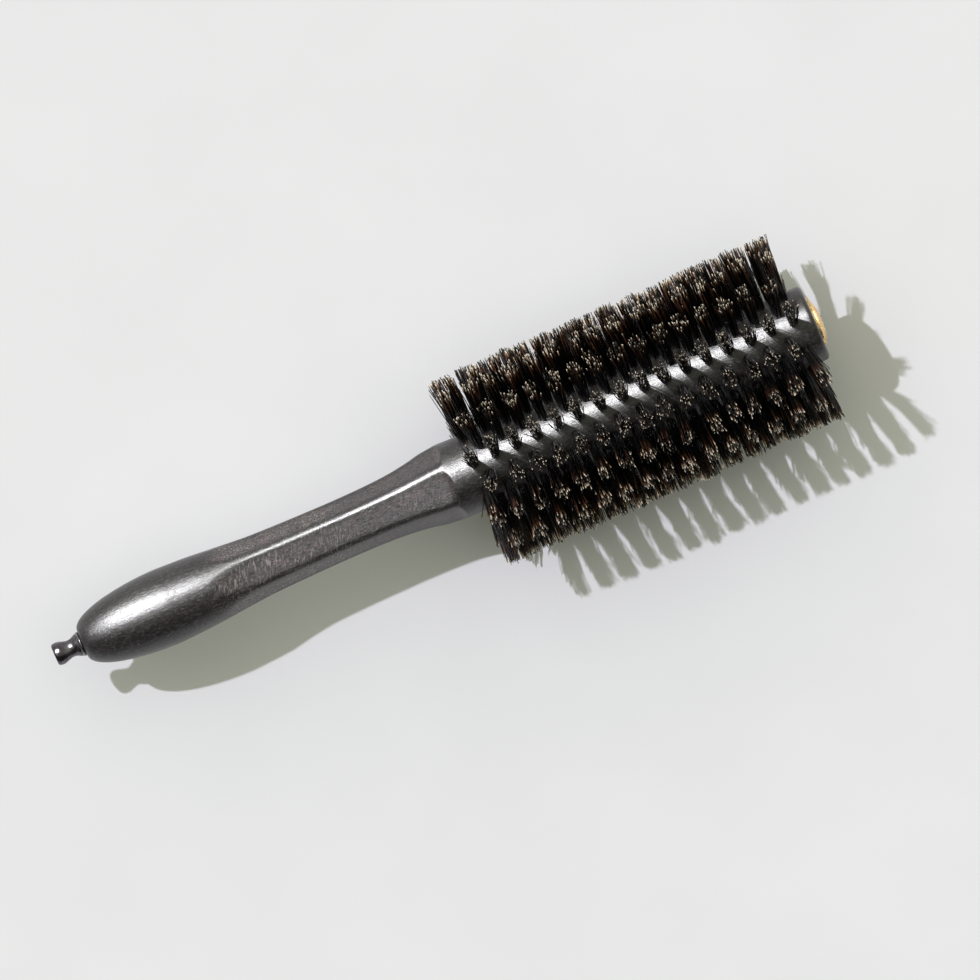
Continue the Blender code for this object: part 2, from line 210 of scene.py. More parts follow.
def curve_through(points, at):
    """The value at a place on a smooth curve through (place, value) points."""
    if at <= points[0][0]:
        return points[0][1]
    if at >= points[-1][0]:
        return points[-1][1]

    def slope(i):
        low, high = max(i - 1, 0), min(i + 1, len(points) - 1)
        return (points[high][1] - points[low][1]) / (points[high][0] - points[low][0])

    i = max(n for n, point in enumerate(points) if point[0] <= at)
    (x0, y0), (x1, y1) = points[i], points[i + 1]
    width = x1 - x0
    t = (at - x0) / width
    start = (2 * t**3 - 3 * t**2 + 1) * y0 + (t**3 - 2 * t**2 + t) * width * slope(i)
    end = (3 * t**2 - 2 * t**3) * y1 + (t**3 - t**2) * width * slope(i + 1)
    return start + end


# ---------------------------------------------------------------- material nodes


class Look:
    """A material and short ways to add to its node tree."""

    def __init__(self, name):
        self.material = bpy.data.materials.new(name)
        self.material.use_nodes = True
        self.tree = self.material.node_tree
        self.shader = self.tree.nodes["Principled BSDF"]
        self.place = self.node("ShaderNodeTexCoord").outputs["Object"]

    def node(self, kind, **settings):
        made = self.tree.nodes.new(kind)
        for name, value in settings.items():
            setattr(made, name, value)
        return made

    def put(self, value, socket):
        if isinstance(value, bpy.types.NodeSocket):
            self.tree.links.new(value, socket)
        else:
            socket.default_value = value

    def set(self, **values):
        for name, value in values.items():
            self.put(value, self.shader.inputs[name.replace("_", " ")])

    def noise(
        self, size, detail=3.0, roughness=0.55, offset=(0.0, 0.0, 0.0), distortion=0.0, turn=0.0, slant=0.0
    ):
        """Noise with features of about size along X, Y and Z, in metres, turned about X and then about Z."""
        turned_place = self.node("ShaderNodeMapping", vector_type="POINT")
        self.put(self.place, turned_place.inputs["Vector"])
        turned_place.inputs["Rotation"].default_value = (turn, 0.0, slant)
        scaled = self.node("ShaderNodeMapping", vector_type="POINT")
        self.put(turned_place.outputs["Vector"], scaled.inputs["Vector"])
        scaled.inputs["Scale"].default_value = tuple(1 / s for s in size)
        scaled.inputs["Location"].default_value = offset
        made = self.node("ShaderNodeTexNoise")
        self.put(scaled.outputs["Vector"], made.inputs["Vector"])
        made.inputs["Scale"].default_value = 1.0
        made.inputs["Detail"].default_value = detail
        made.inputs["Roughness"].default_value = roughness
        made.inputs["Distortion"].default_value = distortion
        return made.outputs["Fac"]

    def span(self, value, low, high, to_low=0.0, to_high=1.0):
        made = self.node("ShaderNodeMapRange", interpolation_type="SMOOTHSTEP")
        for name, setting in zip(
            ("Value", "From Min", "From Max", "To Min", "To Max"), (value, low, high, to_low, to_high)
        ):
            self.put(setting, made.inputs[name])
        return made.outputs["Result"]

    def math(self, operation, a, b=0.0):
        made = self.node("ShaderNodeMath", operation=operation)
        self.put(a, made.inputs[0])
        self.put(b, made.inputs[1])
        return made.outputs[0]

    def mix(self, share, a, b, blend="MIX"):
        """Between two colours, each a socket or an (r, g, b)."""
        made = self.node("ShaderNodeMix", data_type="RGBA", blend_type=blend)
        self.put(share, made.inputs["Factor"])
        for value, name in ((a, "A"), (b, "B")):
            socket = next(s for s in made.inputs if s.name == name and s.type == "RGBA")
            self.put(value if isinstance(value, bpy.types.NodeSocket) else (*value, 1.0), socket)
        return next(s for s in made.outputs if s.type == "RGBA")

    def attribute(self, name):
        return self.node("ShaderNodeAttribute", attribute_name=name).outputs["Fac"]

    def bump(self, height, distance, strength=1.0, onto=None):
        made = self.node("ShaderNodeBump")
        self.put(height, made.inputs["Height"])
        made.inputs["Distance"].default_value = distance
        made.inputs["Strength"].default_value = strength
        if onto is not None:
            self.put(onto, made.inputs["Normal"])
        return made.outputs["Normal"]


def ebonised_wood():
    """Black-stained beech under a satin lacquer, with its grain along X.

    The log's rays show as short pale flakes across the grain, most of all on the milled flats.
    """
    look = Look("ebonised_wood")
    flat = look.attribute("flat")
    parts = look.node("ShaderNodeSeparateXYZ")
    look.put(look.place, parts.inputs[0])
    x = parts.outputs["X"]

    def along(start, end, to_low=0.0, to_high=1.0):
        """Eases between two places, in metres from the handle's end face."""
        return look.span(x, HANDLE_START + start, HANDLE_START + end, to_low, to_high)

    flaked = look.math("MULTIPLY", along(36 * MM, 52 * MM), along(96 * MM, 80 * MM, 0.25, 1.0))
    flake_size = (0.50 * MM, 2.6 * MM, 0.40 * MM)
    flakes = look.noise(
        flake_size, detail=2.0, roughness=0.6, distortion=0.5, turn=RAY_TURN, slant=RAY_SLANT
    )
    flakes = look.span(flakes, 0.50, 0.66)
    patches = look.noise((20 * MM, 9 * MM, 9 * MM), detail=2.0, offset=(3.1, 0.4, 1.7))
    pores = look.noise((3.5 * MM, 0.38 * MM, 0.38 * MM), detail=4.0, roughness=0.75)
    grain = look.noise((26 * MM, 1.3 * MM, 1.3 * MM), detail=4.0, roughness=0.6, distortion=0.4)
    speckle = look.noise((1.3 * MM, 0.50 * MM, 0.50 * MM), detail=4.0, roughness=0.8)
    brown = look.noise((14 * MM, 3 * MM, 5 * MM), detail=3.0, offset=(0.3, 2.2, 5.0))
    lathe = look.noise((0.28 * MM, 9 * MM, 9 * MM), detail=3.0, roughness=0.6)

    turned_tone = look.mix(look.span(grain, 0.35, 0.68), (0.003, 0.002, 0.002), (0.016, 0.012, 0.012))
    turned_tone = look.mix(look.span(speckle, 0.50, 0.66), turned_tone, (0.080, 0.067, 0.073))
    milled_tone = look.mix(look.span(speckle, 0.32, 0.68), (0.004, 0.003, 0.0035), (0.084, 0.069, 0.078))
    milled = look.math("MULTIPLY", flat, along(34 * MM, 66 * MM, 0.15, 1.0))
    tone = look.mix(milled, turned_tone, milled_tone)
    ruddy = look.math("MULTIPLY", look.span(brown, 0.42, 0.62), flat)
    ruddy = look.math("MULTIPLY", ruddy, look.span(speckle, 0.48, 0.70))
    tone = look.mix(ruddy, tone, (0.20, 0.125, 0.105))
    patchy = look.span(look.span(patches, 0.34, 0.60), 0.0, 1.0, 0.3, 1.0)
    light = look.math("MULTIPLY", look.math("MULTIPLY", flakes, flaked), patchy)
    light = look.math("MULTIPLY", light, look.span(flat, 0.0, 1.0, 0.35, 0.75))
    tone = look.mix(light, tone, (0.36, 0.325, 0.305))
    tone = look.mix(look.span(pores, 0.56, 0.70, 0.0, 0.6), tone, (0.006, 0.005, 0.005))
    look.set(Base_Color=tone, Roughness=look.span(speckle, 0.3, 0.7, 0.27, 0.40))
    look.set(IOR=1.56, Specular_IOR_Level=0.5)
    look.set(Sheen_Weight=0.08, Sheen_Roughness=0.45)
    look.shader.inputs["Sheen Tint"].default_value = (0.94, 0.90, 1.0, 1.0)
    scratches = look.math("MULTIPLY", lathe, along(9 * MM, 1 * MM, 0.0, 1.1))
    height = look.math("ADD", look.math("MULTIPLY", pores, -0.8), look.math("MULTIPLY", speckle, 0.8))
    height = look.math("ADD", height, scratches)
    look.set(Normal=look.bump(height, 0.09 * MM, 0.9))
    return look.material


def boar_bristle():
    """Strand by strand: the strand map's U is a strand's own tone and its V runs from root to cut end."""
    look = Look("boar_bristle")
    strand = look.node("ShaderNodeUVMap", uv_map="strand").outputs["UV"]
    parts = look.node("ShaderNodeSeparateXYZ")
    look.put(strand, parts.inputs[0])
    tone, along = parts.outputs["X"], parts.outputs["Y"]

    root = look.mix(look.span(tone, 0.50, 0.98), (0.001, 0.001, 0.001), (0.010, 0.005, 0.004))
    brown = look.mix(look.span(tone, 0.60, 0.98), (0.003, 0.002, 0.0015), (0.16, 0.060, 0.028))
    body = look.mix(look.span(along, 0.66, 0.97), root, brown)
    pale = look.math("FRACT", look.math("MULTIPLY", tone, 7.31))
    tip = look.mix(look.span(pale, 0.50, 0.88), (0.006, 0.004, 0.003), (0.55, 0.38, 0.24))
    body = look.mix(look.span(along, 0.90, 0.965), body, tip)
    # The pale cut ends are partly the bristles' own pale ends and partly a painted highlight, standing in
    # for the glints that cut ends catch.
    cut = look.mix(look.span(pale, 0.48, 0.84), (0.02, 0.015, 0.010), (0.90, 0.82, 0.68))
    end = look.span(along, 0.972, 0.978)
    look.set(Base_Color=look.mix(end, body, cut))
    look.set(Roughness=look.span(tone, 0.0, 1.0, 0.26, 0.38), Specular_IOR_Level=0.3)
    return look.material


def gold():
    look = Look("gold_finish")
    hammer = look.noise((0.55 * MM, 0.55 * MM, 0.55 * MM), detail=2.0, roughness=0.5)
    worn = look.noise((3 * MM, 3 * MM, 3 * MM), detail=4.0)
    tone = look.mix(look.span(worn, 0.35, 0.7), (0.90, 0.64, 0.28), (1.0, 0.82, 0.50))
    # The dents of the hammered pattern are painted a dark brown: painted shade in the dents.
    tone = look.mix(look.span(hammer, 0.56, 0.42, 0.0, 0.75), tone, (0.36, 0.18, 0.04))
    look.set(Base_Color=tone, Metallic=1.0, Roughness=look.span(hammer, 0.3, 0.7, 0.38, 0.24))
    look.set(Normal=look.bump(hammer, 0.12 * MM, 0.7))
    return look.material


def black_nickel():
    look = Look("black_nickel")
    lathe = look.noise((0.10 * MM, 6 * MM, 6 * MM), detail=3.0)
    smudge = look.noise((2.2 * MM, 2.2 * MM, 2.2 * MM), detail=4.0)
    tone = look.mix(look.span(smudge, 0.35, 0.7), (0.082, 0.076, 0.088), (0.165, 0.153, 0.175))
    look.set(Base_Color=tone, Metallic=1.0, Roughness=look.span(smudge, 0.3, 0.7, 0.14, 0.26))
    look.set(Normal=look.bump(lathe, 0.02 * MM, 0.35))
    return look.material


def polished_steel():
    look = Look("polished_steel")
    lathe = look.noise((0.08 * MM, 5 * MM, 5 * MM), detail=3.0)
    tone = look.mix(look.span(lathe, 0.3, 0.7), (0.15, 0.15, 0.155), (0.26, 0.26, 0.265))
    look.set(Base_Color=tone, Metallic=1.0, Roughness=look.span(lathe, 0.3, 0.7, 0.09, 0.2))
    look.set(Normal=look.bump(lathe, 0.01 * MM, 0.3))
    return look.material


def pin_steel():
    look = Look("pin_steel")
    drawn = look.noise((14 * MM, 0.12 * MM, 0.12 * MM), detail=4.0, roughness=0.7)
    tone = look.mix(look.span(drawn, 0.3, 0.7), (0.42, 0.42, 0.43), (0.62, 0.62, 0.63))
    look.set(Base_Color=tone, Metallic=1.0, Roughness=look.span(drawn, 0.3, 0.7, 0.22, 0.36))
    look.set(Normal=look.bump(drawn, 0.02 * MM, 0.4))
    return look.material


def nylon():
    look = Look("nylon")
    moulded = look.noise((0.25 * MM, 0.25 * MM, 0.25 * MM), detail=2.0)
    tone = look.mix(look.span(moulded, 0.3, 0.7), (0.030, 0.030, 0.031), (0.042, 0.042, 0.044))
    look.set(Base_Color=tone, Roughness=look.span(moulded, 0.3, 0.7, 0.42, 0.55))
    look.set(Normal=look.bump(moulded, 0.02 * MM, 0.4))
    return look.material


def adhesive_foam():
    look = Look("adhesive_foam")
    cells = look.noise((0.3 * MM, 0.3 * MM, 0.3 * MM), detail=3.0)
    tone = look.mix(look.span(cells, 0.35, 0.65), (0.60, 0.59, 0.55), (0.78, 0.77, 0.73))
    look.set(Base_Color=tone, Roughness=look.span(cells, 0.3, 0.7, 0.75, 0.9))
    look.set(Normal=look.bump(cells, 0.08 * MM, 0.6))
    return look.material


def floor_paint():
    look = Look("floor_paint")
    mottle = look.noise((60 * MM, 60 * MM, 60 * MM), detail=2.0)
    tone = look.mix(look.span(mottle, 0.3, 0.7), (0.79, 0.79, 0.79), (0.81, 0.81, 0.81))
    look.set(Base_Color=tone, Roughness=0.9, Specular_IOR_Level=0.0)
    return look.material


# ---------------------------------------------------------------- wood body


def turned_radius(x):
    """The turned outline at x from the handle's end face, up to the neck."""
    bulb = BULB_AT * HANDLE_LENGTH
    if x < bulb:
        rise = math.sqrt(max(1 - ((bulb - x) / bulb) ** 2, 0.0))
        return HANDLE_END_RADIUS + (BULB_RADIUS - HANDLE_END_RADIUS) * rise
    swell, flare = BULB_RADIUS - WAIST_RADIUS, NECK_RADIUS - WAIST_RADIUS
    grip = [
        (BULB_AT, BULB_RADIUS),
        (0.33, WAIST_RADIUS + 0.78 * swell),
        (0.42, WAIST_RADIUS + 0.41 * swell),
        (0.51, WAIST_RADIUS + 0.18 * swell),
        (0.63, WAIST_RADIUS + 0.04 * swell),
        (0.74, WAIST_RADIUS),
        (0.83, WAIST_RADIUS + 0.09 * flare),
        (0.89, WAIST_RADIUS + 0.28 * flare),
        (0.94, WAIST_RADIUS + 0.60 * flare),
        (0.97, WAIST_RADIUS + 0.86 * flare),
        (1.00, NECK_RADIUS),
    ]
    return curve_through(grip, x / HANDLE_LENGTH)


def flat_apothem(x):
    clear = NECK_RADIUS + 0.5 * MM
    start, full = FLAT_START_AT * HANDLE_LENGTH, FLAT_FULL_AT * HANDLE_LENGTH
    if x < start:
        return clear
    if x < full:
        ease = (x - start) / (full - start)
        return turned_radius(x) * (1 + (FLAT_SHARE - 1) * math.sin(ease * math.pi / 2))
    if x <= HANDLE_LENGTH:
        return turned_radius(x) * FLAT_SHARE
    at_neck = NECK_RADIUS * FLAT_SHARE
    return at_neck + (clear - at_neck) * ((x - HANDLE_LENGTH) / FLAT_RUNOUT) ** 2


def sector_angles(per_sector):
    """Angles around the brush, closer together at the six ridges."""
    t = np.arange(per_sector) / per_sector
    eased = t - RIDGE_CROWDING * np.sin(2 * math.pi * t) / (2 * math.pi)
    sectors = [RIDGE_ANGLE + math.radians(60) * (sector + eased) for sector in range(6)]
    return np.concatenate(sectors)


def rounded_hexagon(apothem, from_ridge):
    """Radii of a hexagon with rounded corners, at angles from its nearest corner."""
    corner = (apothem - RIDGE_ROUNDING) / math.cos(math.radians(30))
    arc_end = math.atan2(RIDGE_ROUNDING / 2, corner + RIDGE_ROUNDING * math.cos(math.radians(30)))
    near = np.minimum(from_ridge, arc_end)
    rounded = corner * np.cos(near) + np.sqrt(RIDGE_ROUNDING**2 - (corner * np.sin(near)) ** 2)
    return np.where(from_ridge < arc_end, rounded, apothem / np.cos(math.radians(30) - from_ridge))


def milled_ring(x, angles):
    """Radii around the handle, and how much each point looks like part of a flat, from 0 to 1."""
    round_radius = turned_radius(min(x, HANDLE_LENGTH))
    sector = math.radians(60)
    from_ridge = np.abs((angles - RIDGE_ANGLE + sector / 2) % sector - sector / 2)
    flat_radius = rounded_hexagon(flat_apothem(x), from_ridge)
    near = np.clip(1 - np.abs(round_radius - flat_radius) / EDGE_SOFTNESS, 0, 1)
    radii = np.minimum(round_radius, flat_radius) - near**2 * EDGE_SOFTNESS / 4
    from_edge = np.clip((from_ridge - FLAT_EDGE) / FLAT_FADE, 0, 1)
    return radii, np.clip((round_radius - flat_radius) / FLAT_SHOWS, 0, 1) * from_edge


def spaced(start, end, step):
    return list(np.linspace(start, end, max(int(round((end - start) / step)), 1), endpoint=False))


def wood_body():
    """One loft: out of the pick's bore, over the end face, along the handle and the barrel, and into the
    medallion's recess."""
    angles = sector_angles(SECTOR_COLUMNS)
    count = len(angles)
    seat = (FERRULE_HIGH.z - FERRULE_LOW.z) / 2
    seat_radius = min(seat, SLEEVE_OUTER + 0.3 * MM)
    seat_end = FERRULE_HIGH.x + 1.0 * MM
    bore_end = PIN_HIGH.x + 4.0 * MM
    rings, flats = [], []

    def ring(x, radius, flat=0.0):
        rings.append(around(x, radius, angles))
        flats.append(np.broadcast_to(flat, (count,)))

    for x, radius in (
        (bore_end, PIN_BORE),
        (seat_end, PIN_BORE),
        (seat_end, seat_radius),
        (HANDLE_START + 0.3 * MM, seat_radius),
        (HANDLE_START, seat_radius + 0.25 * MM),
    ):
        ring(x, radius)

    bulb = BULB_AT * HANDLE_LENGTH
    nose = [bulb * (1 - math.cos(t)) for t in np.linspace(0, math.pi / 2, 64, endpoint=False)]
    grip = spaced(bulb, DENSE_FROM * HANDLE_LENGTH, GRIP_STEP)
    neck = spaced(DENSE_FROM * HANDLE_LENGTH, HANDLE_LENGTH + FLAT_RUNOUT, NECK_STEP)
    for x in nose + grip + neck:
        radii, flat = milled_ring(x, angles)
        groove = sum(depth * math.exp(-(((x - at) / width) ** 2)) for at, depth, width in END_GROOVES)
        ring(HANDLE_START + x, radii - groove, flat)

    barrel_start = NECK + FLAT_RUNOUT
    barrel_stop = BARREL_END - BARREL_EDGE
    for x in spaced(barrel_start, barrel_stop, BARREL_STEP):
        settle = min((x - barrel_start) / BARREL_SETTLE, 1.0)
        ring(x, NECK_RADIUS + (BARREL_RADIUS - NECK_RADIUS) * settle)
    for t in np.linspace(0, math.pi / 2, 9):
        edge = BARREL_EDGE * np.array([math.sin(t), 1 - math.cos(t)])
        ring(barrel_stop + edge[0], BARREL_RADIUS - edge[1])
    recess = (MEDALLION_HIGH.z - MEDALLION_LOW.z) / 2 + 0.15 * MM
    recess_floor = PAD_LOW.x - 0.1 * MM
    ring(BARREL_END, recess + 0.2 * MM)
    ring(BARREL_END - 0.15 * MM, recess)
    ring(recess_floor, recess)

    faces = ring_faces(len(rings), count)
    faces.append(tuple(range(count - 1, -1, -1)))
    faces.append(tuple(range((len(rings) - 1) * count, len(rings) * count)))
    body = mesh_object("turned_wood", np.concatenate(rings), faces, 40)
    layer = body.data.attributes.new("flat", "FLOAT", "POINT")
    layer.data.foreach_set("value", np.concatenate(flats).astype(np.float32))
    return body


# ---------------------------------------------------------------- bristles


def row_angle(row):
    return math.pi / ROWS * (2 * row + 1)


def tuft_places(row):
    """The X of each tuft in a row."""
    low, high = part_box(f"bristle_row_{row + 1:02d}")
    first, last = low.x + PITCH / 2, high.x - PITCH / 2
    return np.linspace(first, last, int(round((last - first) / PITCH)) + 1)


def strands(row, chance):
    """Points down the middle of each bristle in a row, as (bristle, step, 3), and each bristle's tone.

    The points are in the row's own frame: along the brush, across the row and outwards.
    """
    places = tuft_places(row)
    along, across, height, tones = [], [], [], []
    for number, place in enumerate(places):
        count = BRISTLES + chance.integers(-BRISTLES_VARY, BRISTLES_VARY + 1)
        out = np.sqrt(chance.random(count))
        turn = chance.random(count) * 2 * math.pi
        lean = chance.normal(0, TUFT_LEAN, 2)
        spread = TIP_SPREAD * chance.normal(1.0, SPREAD_VARIES, 2)
        root = np.stack([out * np.cos(turn), out * np.sin(turn)]) * ROOT_RADIUS
        tip = np.stack([out * np.cos(turn), out * np.sin(turn)]) * spread[:, None]
        tip += chance.normal(0, TIP_WANDER, (2, count)) + lean[:, None]
        stray = chance.random(count) < STRAY_SHARE
        tip += stray * chance.normal(0, STRAY_WANDER, (2, count))
        end = -1 if number == 0 else 1 if number == len(places) - 1 else 0
        tip[0] += end * END_TUFT_SPLAY
        reach = TIP_RADIUS + TALLEST_EXTRA + chance.normal(0, TUFT_HEIGHT_VARIES)
        reach = reach - chance.gamma(*SHORTFALL, count)
        reach -= TUFT_CROWN * out**2
        reach = np.clip(reach, SHORTEST_REACH, LONGEST_REACH)
        low = BARREL_RADIUS - HOLE_DEPTH + ROOT_LIFT
        bow = chance.normal(*BOW, (2, count)) * MM
        t = BRISTLE_STEPS[None, :]
        swell = np.sin(math.pi * t)
        ease = t**1.15
        root, tip, bow = root[:, :, None], tip[:, :, None], bow[:, :, None]
        along.append(place + root[0] * (1 - ease) + tip[0] * ease + bow[0] * swell)
        across.append(root[1] * (1 - ease) + tip[1] * ease + bow[1] * swell)
        height.append(low + (reach - low)[:, None] * t)
        tones.append(chance.random(count))
    lines = np.stack([np.concatenate(along), np.concatenate(across), np.concatenate(height)], axis=2)
    return lines, np.concatenate(tones)


def to_row_frame(lines, row):
    """From along, across and outwards to the brush's frame."""
    angle = row_angle(row)
    outwards = np.array([0.0, -math.sin(angle), math.cos(angle)])
    across = np.array([0.0, -math.cos(angle), -math.sin(angle)])
    turned_lines = lines[..., 1:2] * across + lines[..., 2:3] * outwards
    turned_lines[..., 0] += lines[..., 0]
    turned_lines[..., 2] += AXIS_Z
    return turned_lines


def rest_on_floor(lines):
    """Shortens the bristles that would reach through the surface that the brush lies on."""
    root, tip = lines[:, :1, :], lines[:, -1:, :]
    drop = root[..., 2] - tip[..., 2]
    room = root[..., 2] - FLOOR_CLEARANCE
    share = np.where(tip[..., 2] < FLOOR_CLEARANCE, room / np.maximum(drop, 1e-9), 1.0)
    return root + (lines - root) * share[..., None]


def strand_faces(count, rings):
    """The side faces of count strands, then their cut ends, then their roots."""
    sides = BRISTLE_SIDES
    strand = (np.arange(count) * rings * sides)[:, None, None]
    ring = (np.arange(rings - 1) * sides)[None, :, None]
    side = np.arange(sides)[None, None, :]
    low, high = strand + ring, strand + ring + sides
    after = (side + 1) % sides
    corners = np.broadcast_arrays(low + side, high + side, high + after, low + after)
    quads = np.stack(corners, axis=3).reshape(-1, 4)
    root = strand[:, :, 0]
    cut_ends = root + (rings - 1) * sides + np.arange(sides)[::-1]
    roots = root + np.arange(sides)
    return quads, cut_ends, roots


def strand_map(mesh, tones, rings, side_faces):
    """UVs with a strand's tone along U and the way from its root to its cut end along V."""
    sides, count = BRISTLE_SIDES, len(tones)
    tone_of_vertex = np.repeat(tones, rings * sides)
    step_of_vertex = np.tile(np.repeat(BRISTLE_STEPS, sides), count)
    side_of_vertex = np.tile(np.arange(sides), count * rings) / sides
    corner_vertex = np.zeros(len(mesh.loops), np.int32)
    mesh.loops.foreach_get("vertex_index", corner_vertex)
    u = tone_of_vertex[corner_vertex] * 0.98 + side_of_vertex[corner_vertex] * 0.01
    v = step_of_vertex[corner_vertex]
    end_start, root_start = side_faces * sides, (side_faces + count) * sides
    flat_tone = np.repeat(tones, sides) * 0.98
    u[end_start:root_start] = u[root_start:] = flat_tone + np.tile([0.0, 0.01, 0.01, 0.0], count)
    v[end_start:root_start] = np.tile([0.98, 0.98, 1.0, 1.0], count)
    v[root_start:] = np.tile([0.0, 0.0, 0.02, 0.02], count)
    for name in ("strand", "OFBake"):
        layer = mesh.uv_layers.new(name=name)
        layer.data.foreach_set("uv", np.stack([u, v], axis=1).astype(np.float32).ravel())


def bristle_row(row):
    """One row's bristles as thin tapered tubes in a single mesh."""
    chance = np.random.default_rng(SEED + row)
    lines, tones = strands(row, chance)
    lines = rest_on_floor(to_row_frame(lines, row))
    count, rings = lines.shape[:2]
    thick = BRISTLE_RADIUS * chance.normal(1.0, THICKNESS_VARIES, count)

    tangent = np.gradient(lines, axis=1)
    tangent /= np.linalg.norm(tangent, axis=2, keepdims=True)
    aside = np.cross(tangent, np.array([1.0, 0.0, 0.0]))
    aside /= np.linalg.norm(aside, axis=2, keepdims=True)
    beside = np.cross(tangent, aside)
    spin = chance.random(count) * 2 * math.pi
    turn = spin[:, None] + np.arange(BRISTLE_SIDES) * 2 * math.pi / BRISTLE_SIDES
    radius = thick[:, None] * BRISTLE_TAPER
    offset = aside[:, :, None, :] * np.cos(turn)[:, None, :, None]
    offset = offset + beside[:, :, None, :] * np.sin(turn)[:, None, :, None]
    verts = lines[:, :, None, :] + offset * radius[:, :, None, None]

    quads, cut_ends, roots = strand_faces(count, rings)
    faces = quads.tolist() + cut_ends.tolist() + roots.tolist()
    piece = mesh_object(f"boar_row_{row + 1:02d}", verts.reshape(-1, 3), faces)
    strand_map(piece.data, tones, rings, len(quads))
    return piece


# ---------------------------------------------------------------- fittings


def medallion():
    """A domed disc with a bead around its rim, a groove inside the bead and a plain hammered middle."""
    radius = (MEDALLION_HIGH.z - MEDALLION_LOW.z) / 2
    back, top = MEDALLION_LOW.x, MEDALLION_HIGH.x
    shoulder = BARREL_END + 0.7 * MM
    edge, bead, bead_at = 0.2 * MM, 0.45 * MM, shoulder - 0.25 * MM
    outline = [(back, radius - edge), (back + edge, radius), (bead_at, radius)]
    outline += arc((bead_at, radius - bead), bead, 80, 10, 6)
    groove, groove_floor = radius - 1.2 * MM, shoulder + 0.05 * MM
    outline += [(shoulder + 0.12 * MM, radius - 0.75 * MM), (groove_floor, groove)]
    for share in np.linspace(0.0, 1.0, 25)[1:]:
        r = groove * (1 - share)
        dome = 1 - (r / groove) ** 4
        outline.append((groove_floor + (top - groove_floor) * dome, max(r, 0.15 * MM)))
    return turned("gold_medallion", outline, 128)


def ferrule():
    """The polished flange that shows around the knob's foot, and its sleeve in the handle."""
    flange = (FERRULE_HIGH.z - FERRULE_LOW.z) / 2
    bore = (SLEEVE_HIGH.z - SLEEVE_LOW.z) / 2 + 0.15 * MM
    outer = bore + 0.6 * MM
    start, end = FERRULE_LOW.x, FERRULE_HIGH.x
    back = HANDLE_START - 0.02 * MM
    half = (back - start) / 2
    outline = [(end, bore), (start + 0.2 * MM, bore), (start, bore + 0.2 * MM), (start, flange - half)]
    outline += arc((start + half, flange - half), half, 180, 0, 10)[1:]
    outline += [(back, outer), (end - 0.2 * MM, outer), (end, outer - 0.2 * MM)]
    return turned("polished_ferrule", outline, 96, closed=True)


def knob():
    """The pull: a flat rounded head, a waist and a flare down to the ferrule."""
    start, end = KNOB_LOW.x, KNOB_HIGH.x + 0.2 * MM
    length = end - start
    face = 3.0 * MM
    head, waist, flare = 3.6 * MM, 2.75 * MM, 3.75 * MM
    side = [
        (0.15, head),
        (0.24, head + 0.02 * MM),
        (0.36, head - 0.25 * MM),
        (0.50, waist + 0.22 * MM),
        (0.64, waist),
        (0.78, waist + 0.18 * MM),
        (0.90, flare - 0.35 * MM),
        (1.00, flare),
    ]
    outline = [(start + 0.02 * MM, face * 0.55), (start, face * 0.6)]
    outline += [(start, face - 0.15 * MM)]
    corner = head - face + 0.1 * MM
    outline += [
        (start + 0.15 * length * (1 - math.cos(t)), face - 0.1 * MM + corner * math.sin(t))
        for t in np.linspace(0.15, math.pi / 2, 8)
    ]
    outline += [(start + length * t, curve_through(side, t)) for t in np.linspace(0.17, 1.0, 34)]
    outline += [(end, 1.3 * MM), (start + 3.0 * MM, 1.3 * MM)]
    return turned("dark_knob", outline, 96)


def pin():
    """A drawn steel pin with a long taper and a rounded point."""
    radius = (PIN_HIGH.z - PIN_LOW.z) / 2
    start, end = PIN_LOW.x, PIN_HIGH.x
    taper, point = 14 * MM, 0.4 * MM
    outline = [(start, radius - 0.2 * MM), (start + 0.2 * MM, radius), (end - taper, radius)]
    outline += arc((end - point, 0.0), point, 85, 8, 7)
    return turned("steel_pin", outline, 32)


def grip_sleeve():
    """A moulded sleeve with shallow ribs."""
    bore = 1.03 * MM
    outer = (SLEEVE_HIGH.z - SLEEVE_LOW.z) / 2
    start, end = SLEEVE_LOW.x, SLEEVE_HIGH.x
    outline = [(end, bore), (start, bore), (start, outer - 0.2 * MM)]
    ribs = 4
    for x in np.linspace(start + 0.2 * MM, end - 0.6 * MM, ribs * 8 + 1):
        wave = math.cos((x - start) / (end - start) * ribs * 2 * math.pi)
        outline.append((x, outer - 0.06 * MM * (1 + wave)))
    outline += [(end - 0.3 * MM, outer - 0.12 * MM), (end, outer - 0.35 * MM)]
    return turned("ribbed_sleeve", outline, 48, closed=True)


def pad():
    radius = (PAD_HIGH.z - PAD_LOW.z) / 2
    soft = 0.12 * MM
    outline = [(PAD_LOW.x, radius - soft)] + arc((PAD_LOW.x + soft, radius - soft), soft, 160, 90, 3)
    outline += arc((PAD_HIGH.x - soft, radius - soft), soft, 90, 20, 3) + [(PAD_HIGH.x, radius - soft)]
    return turned("foam_pad", outline, 64)


# ---------------------------------------------------------------- stage


def build_stage():
    """The surface under the brush, the surroundings, and a key and a soft panel for all the pieces."""
    corners = [(x * FLOOR_REACH, y * FLOOR_REACH, 0) for x, y in ((-1, -1), (1, -1), (1, 1), (-1, 1))]
    floor = mesh_object("floor", corners, [(0, 1, 2, 3)])
    floor.data.materials.append(floor_paint())

    build_surroundings()
    build_key()
    panel = area_light("panel", "RECTANGLE", PANEL_PLACE, PANEL_SIZE, PANEL_POWER, PANEL_COLOUR)
    panel.visible_diffuse = False


def build_key():
    """A hard light from far away, from above the handle's end and behind the brush."""
    key = bpy.data.lights.new("key", "SUN")
    key.energy = KEY_STRENGTH
    key.angle = KEY_ANGLE
    key.color = KEY_COLOUR
    made = bpy.data.objects.new("key", key)
    made.rotation_euler = Vector(KEY_DIRECTION).to_track_quat("Z", "Y").to_euler()
    bpy.context.scene.collection.objects.link(made)


